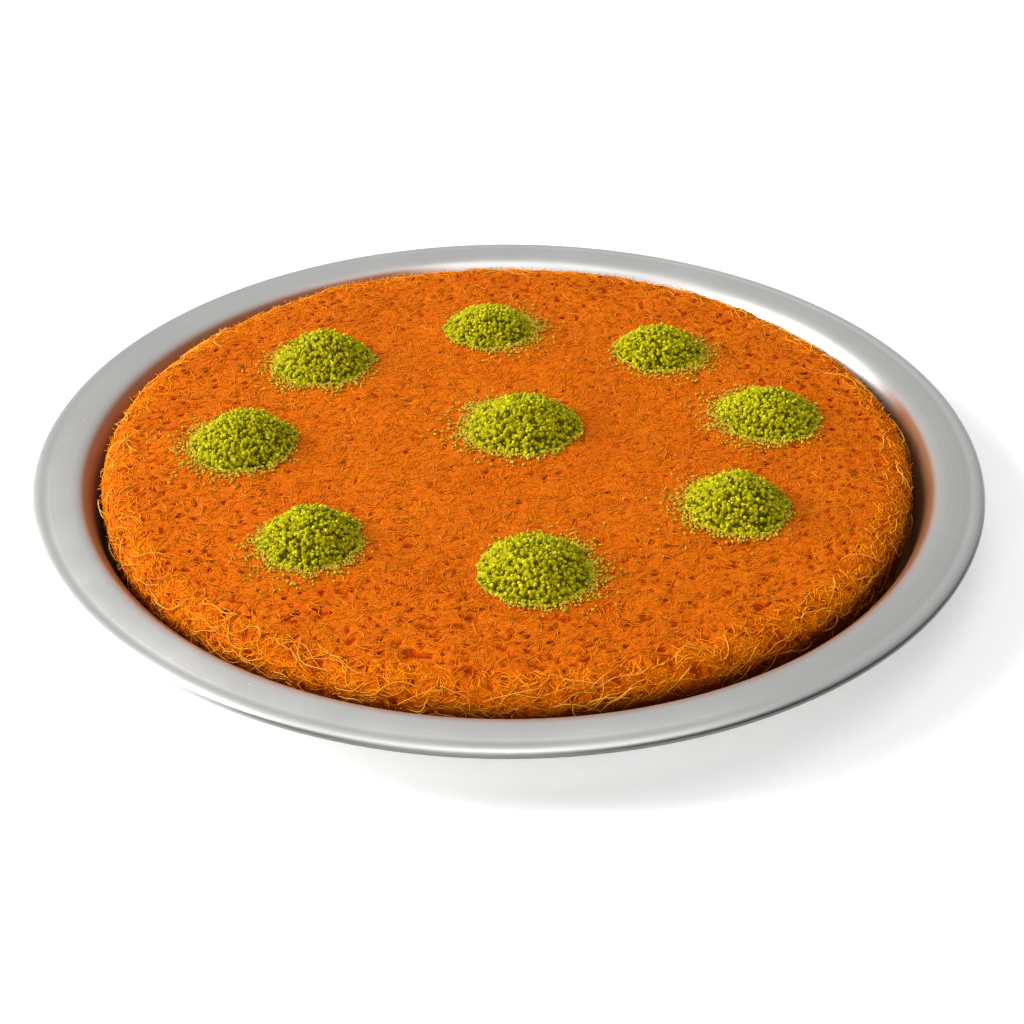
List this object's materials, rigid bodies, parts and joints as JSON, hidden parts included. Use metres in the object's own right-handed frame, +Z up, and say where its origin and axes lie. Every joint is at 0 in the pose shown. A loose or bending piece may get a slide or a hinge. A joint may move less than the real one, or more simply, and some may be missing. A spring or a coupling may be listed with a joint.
{
  "type": "kunafa",
  "caption": "Whole round of shredded-pastry kunafa in a shallow rimmed aluminium tray, topped with small mounds of ground pistachio, for cutting and serving.",
  "frame": {"origin": "middle of the tray's underside, on the surface that it stands on", "axes": "+Z up out of the tray; -Y towards the viewer of the picture and +X to the viewer's right"},
  "size_m": [0.4, 0.4, 0.0461],
  "materials": {
    "spun_aluminium": "spun and dulled by use, satin",
    "fried_pastry": "food: shredded pastry coloured orange, fried in ghee and lightly glazed with syrup",
    "ground_pistachio": "food: ground green pistachio, dry and matt"
  },
  "bodies": {
    "root": {"tray": "spun_aluminium", "kunafa": "fried_pastry", "pistachio_mound_centre": "ground_pistachio", "pistachio_mound_back": "ground_pistachio", "pistachio_mound_back_right": "ground_pistachio", "pistachio_mound_right": "ground_pistachio", "pistachio_mound_front_right": "ground_pistachio", "pistachio_mound_front": "ground_pistachio", "pistachio_mound_front_left": "ground_pistachio", "pistachio_mound_left": "ground_pistachio", "pistachio_mound_back_left": "ground_pistachio"}
  },
  "joints": []
}
